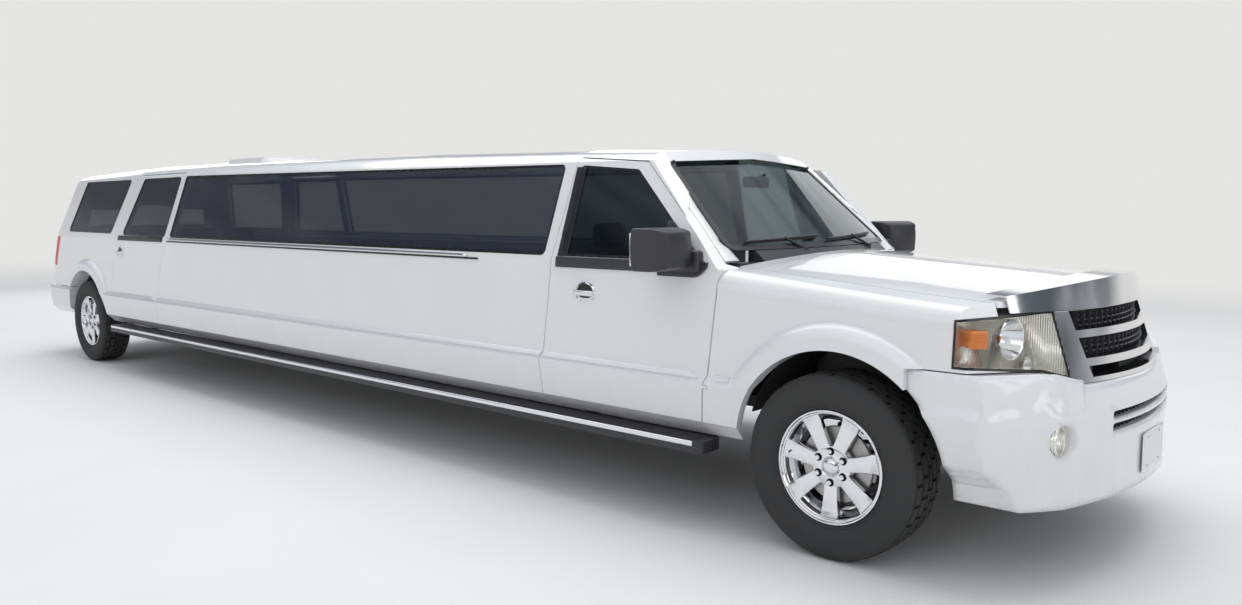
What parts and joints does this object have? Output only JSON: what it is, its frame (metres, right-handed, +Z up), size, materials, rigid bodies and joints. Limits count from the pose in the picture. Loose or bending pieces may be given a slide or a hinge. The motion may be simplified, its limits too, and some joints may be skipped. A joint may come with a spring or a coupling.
{
  "type": "stretch limousine",
  "caption": "Long-wheelbase passenger limousine on a truck frame, with hinged doors, hood and liftgate, steered front wheels and rolling rear wheels.",
  "frame": {"origin": "on the ground, on the centreline, straight under the front axle", "axes": "+X forward along the vehicle, +Y to its left, +Z up"},
  "size_m": [10.42, 2.7189, 1.9478],
  "materials": {
    "painted_white": "gloss",
    "dark_glass": "dark tinted",
    "clear_glass": "lightly tinted",
    "chrome": "polished",
    "tyre_rubber": "matte",
    "black_plastic": "satin",
    "red_lens": "gloss",
    "lamp_lens": "gloss",
    "frame_black": "satin",
    "cast_iron": "rough",
    "steel": "brushed",
    "leather": "satin",
    "floor_carpet": "matte"
  },
  "bodies": {
    "root": {"roof": "painted_white", "front_bumper": "painted_white", "rear_bumper": "painted_white", "body_side_left": "painted_white", "body_side_right": "painted_white", "quarter_panel_left": "painted_white", "quarter_panel_right": "painted_white", "fender_left": "painted_white", "fender_right": "painted_white", "side_glass": "dark_glass", "windscreen": "clear_glass", "grille": "chrome", "cowl": "black_plastic", "nose_panel": "black_plastic", "running_boards": "black_plastic", "dashboard": "black_plastic", "steering_wheel": "black_plastic", "wheel_liners": "black_plastic", "tail_lamps": "red_lens", "headlamps": "lamp_lens", "fog_lamps": "lamp_lens", "frame": "frame_black", "front_arms": "frame_black", "rear_axle": "frame_black", "firewall": "frame_black", "driveline": "frame_black", "fuel_tank": "frame_black", "engine": "cast_iron", "exhaust": "steel", "front_seats": "leather", "long_seat": "leather", "rear_seat": "leather", "divider": "leather", "floor": "floor_carpet"},
    "front_door_right": {"front_door_right": "painted_white", "front_door_glass_right": "dark_glass", "door_mirror_right": "black_plastic"},
    "front_door_left": {"front_door_left": "painted_white", "front_door_glass_left": "dark_glass", "door_mirror_left": "black_plastic"},
    "rear_door_right": {"rear_door_right": "painted_white", "rear_door_glass_right": "dark_glass"},
    "rear_door_left": {"rear_door_left": "painted_white", "rear_door_glass_left": "dark_glass"},
    "bonnet": {"bonnet": "painted_white", "hood_deflector": "chrome"},
    "liftgate": {"liftgate": "painted_white", "liftgate_glass": "dark_glass"},
    "knuckle_right": {"knuckle_right": "cast_iron"},
    "knuckle_left": {"knuckle_left": "cast_iron"},
    "wheel_front_left": {"wheel_front_left": "chrome", "tyre_front_left": "tyre_rubber"},
    "wheel_rear_left": {"wheel_rear_left": "chrome", "tyre_rear_left": "tyre_rubber"},
    "wheel_front_right": {"wheel_front_right": "chrome", "tyre_front_right": "tyre_rubber"},
    "wheel_rear_right": {"wheel_rear_right": "chrome", "tyre_rear_right": "tyre_rubber"}
  },
  "joints": [
    {"name": "front_door_right_swing", "type": "hinge", "parent": "root", "child": "front_door_right", "pos_m": [-0.62, -0.992, 0.7], "axis": [0, 0, 1], "range_deg": [0, 65]},
    {"name": "front_door_left_swing", "type": "hinge", "parent": "root", "child": "front_door_left", "pos_m": [-0.62, 0.992, 0.7], "axis": [0, 0, -1], "range_deg": [-30, 35]},
    {"name": "rear_door_right_swing", "type": "hinge", "parent": "root", "child": "rear_door_right", "pos_m": [-6.54, -1.005, 0.7], "axis": [0, 0, 1], "range_deg": [0, 60]},
    {"name": "rear_door_left_swing", "type": "hinge", "parent": "root", "child": "rear_door_left", "pos_m": [-6.54, 1.005, 0.7], "axis": [0, 0, -1], "range_deg": [0, 60]},
    {"name": "bonnet_lift", "type": "hinge", "parent": "root", "child": "bonnet", "pos_m": [-0.575, 0, 1.292], "axis": [0, -1, 0], "range_deg": [0, 50]},
    {"name": "liftgate_lift", "type": "hinge", "parent": "root", "child": "liftgate", "pos_m": [-8.935, 0, 1.89], "axis": [0, 1, 0], "range_deg": [0, 80]},
    {"name": "steer_left", "type": "hinge", "parent": "root", "child": "knuckle_left", "pos_m": [0, 0.8, 0.402], "axis": [0, 0, 1], "range_deg": [-32, 32]},
    {"name": "steer_right", "type": "hinge", "parent": "root", "child": "knuckle_right", "pos_m": [0, -0.8, 0.402], "axis": [0, 0, 1], "range_deg": [-32, 32]},
    {"name": "roll_front_left", "type": "hinge", "parent": "knuckle_left", "child": "wheel_front_left", "pos_m": [0, 0.85, 0.402], "axis": [0, 1, 0], "continuous": true},
    {"name": "roll_front_right", "type": "hinge", "parent": "knuckle_right", "child": "wheel_front_right", "pos_m": [0, -0.85, 0.402], "axis": [0, 1, 0], "continuous": true},
    {"name": "roll_rear_left", "type": "hinge", "parent": "root", "child": "wheel_rear_left", "pos_m": [-8.3, 0.85, 0.402], "axis": [0, 1, 0], "continuous": true},
    {"name": "roll_rear_right", "type": "hinge", "parent": "root", "child": "wheel_rear_right", "pos_m": [-8.3, -0.85, 0.402], "axis": [0, 1, 0], "continuous": true}
  ],
  "couplings": [
    {"joint": "steer_right", "follows": "steer_left", "ratio": 1}
  ]
}
